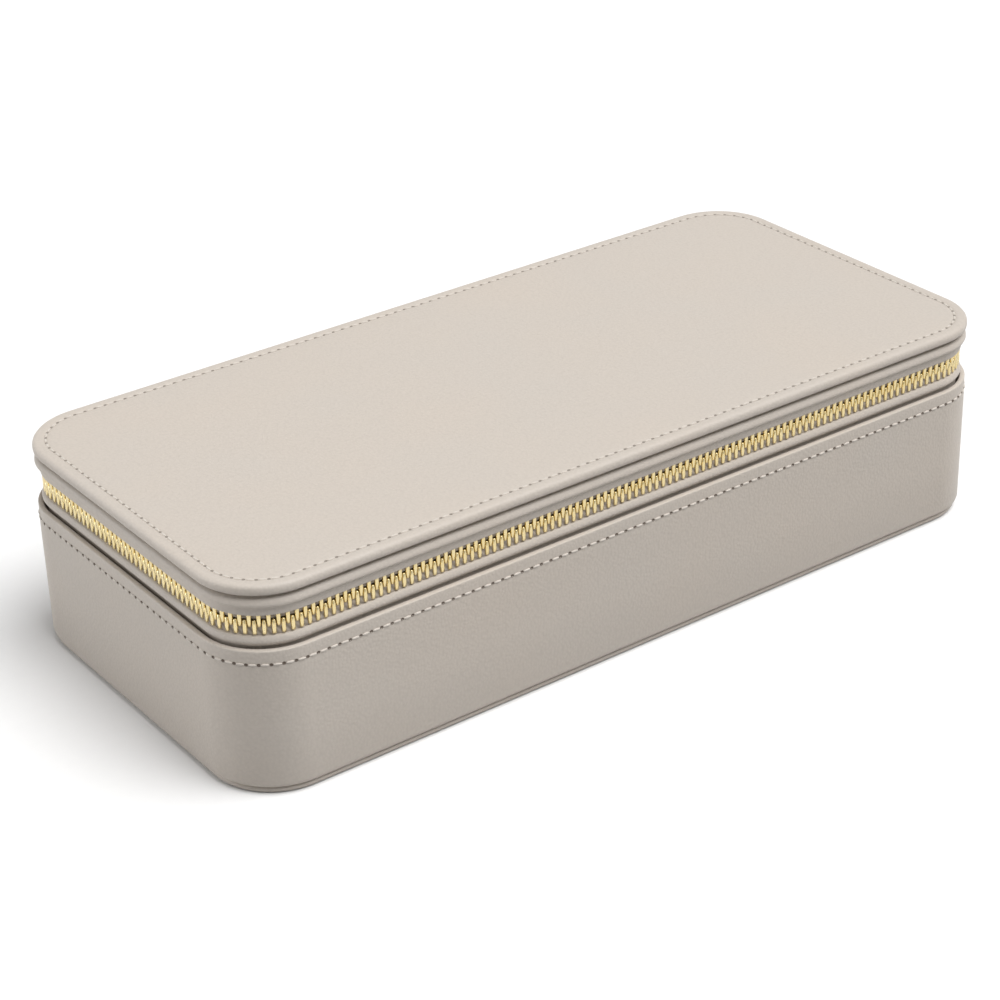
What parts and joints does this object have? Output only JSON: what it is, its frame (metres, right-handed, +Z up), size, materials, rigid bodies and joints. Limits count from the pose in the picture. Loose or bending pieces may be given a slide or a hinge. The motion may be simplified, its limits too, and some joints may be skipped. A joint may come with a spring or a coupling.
{
  "type": "jewelry box",
  "caption": "Zip-around rectangular travel jewelry case in taupe leatherette with a back hinge, metal zip, ring rolls, dividers and a mirror in the lid.",
  "frame": {"origin": "centre of the flat underside, on the surface that the box stands on", "axes": "+X along the long side to the end with the zip pulls, +Y to the hinged back, +Z up"},
  "size_m": [0.2559, 0.116, 0.059],
  "materials": {
    "leatherette": "fine-grained matte leatherette in warm taupe, stitched along its edges",
    "zip_tape": "woven polyester zip tape",
    "brass_chain": "polished pale brass teeth",
    "brass_hardware": "polished pale brass plate on cast sliders and pulls",
    "board": "raw pressed fibre board",
    "foam": "thin open-cell foam",
    "velvet": "short-pile velvet in warm taupe",
    "mirror": "silvered flat glass"
  },
  "bodies": {
    "base": {"bottom_panel": "leatherette", "base_cover": "leatherette", "base_wall_board": "board", "floor_board": "board", "base_lining": "velvet", "base_zip_strip": "leatherette", "base_zip_tape": "zip_tape", "base_zip_chain": "brass_chain", "base_zip_stop_left": "brass_chain", "base_zip_stop_right": "brass_chain", "hinge_strip": "leatherette", "cross_divider_left": "velvet", "cross_divider_right": "velvet", "short_divider_left": "velvet", "short_divider_right": "velvet", "ring_roll_1": "velvet", "ring_roll_2": "velvet", "ring_roll_3": "velvet", "ring_roll_4": "velvet", "ring_roll_5": "velvet", "ring_roll_6": "velvet"},
    "lid": {"lid_cover": "leatherette", "lid_foam": "foam", "lid_board": "board", "lid_rim_board": "board", "lid_lining": "velvet", "lid_zip_strip": "leatherette", "lid_zip_tape": "zip_tape", "lid_zip_chain": "brass_chain", "lid_zip_stop_left": "brass_chain", "lid_zip_stop_right": "brass_chain", "mirror_frame": "leatherette", "lid_mirror": "mirror"},
    "front_slider": {"front_slider": "brass_hardware"},
    "front_link": {"front_pull_ring": "brass_hardware"},
    "front_tab": {"front_pull_tab": "brass_hardware"},
    "rear_slider": {"rear_slider": "brass_hardware"},
    "rear_link": {"rear_pull_ring": "brass_hardware"},
    "rear_tab": {"rear_pull_tab": "brass_hardware"}
  },
  "joints": [
    {"name": "lid_hinge", "type": "hinge", "parent": "base", "child": "lid", "pos_m": [0, 0.058, 0.0482], "axis": [-1, 0, 0], "range_deg": [0, 105], "deforming": ["hinge_strip"]},
    {"name": "front_slider_travel", "type": "slide", "parent": "base", "child": "front_slider", "axis": [0, -1, 0], "range_m": [0, 0.022]},
    {"name": "front_link_swing", "type": "hinge", "parent": "front_slider", "child": "front_link", "pos_m": [0.1282, -0.007, 0.0482], "axis": [0, -1, 0], "range_deg": [0, 95]},
    {"name": "front_tab_swing", "type": "hinge", "parent": "front_link", "child": "front_tab", "pos_m": [0.1282, -0.007, 0.043], "axis": [0, -1, 0], "range_deg": [-5, 50]},
    {"name": "rear_slider_travel", "type": "slide", "parent": "base", "child": "rear_slider", "axis": [0, 1, 0], "range_m": [0, 0.022]},
    {"name": "rear_link_swing", "type": "hinge", "parent": "rear_slider", "child": "rear_link", "pos_m": [0.1282, 0.007, 0.0482], "axis": [0, -1, 0], "range_deg": [0, 95]},
    {"name": "rear_tab_swing", "type": "hinge", "parent": "rear_link", "child": "rear_tab", "pos_m": [0.1282, 0.007, 0.043], "axis": [0, -1, 0], "range_deg": [-5, 50]}
  ]
}
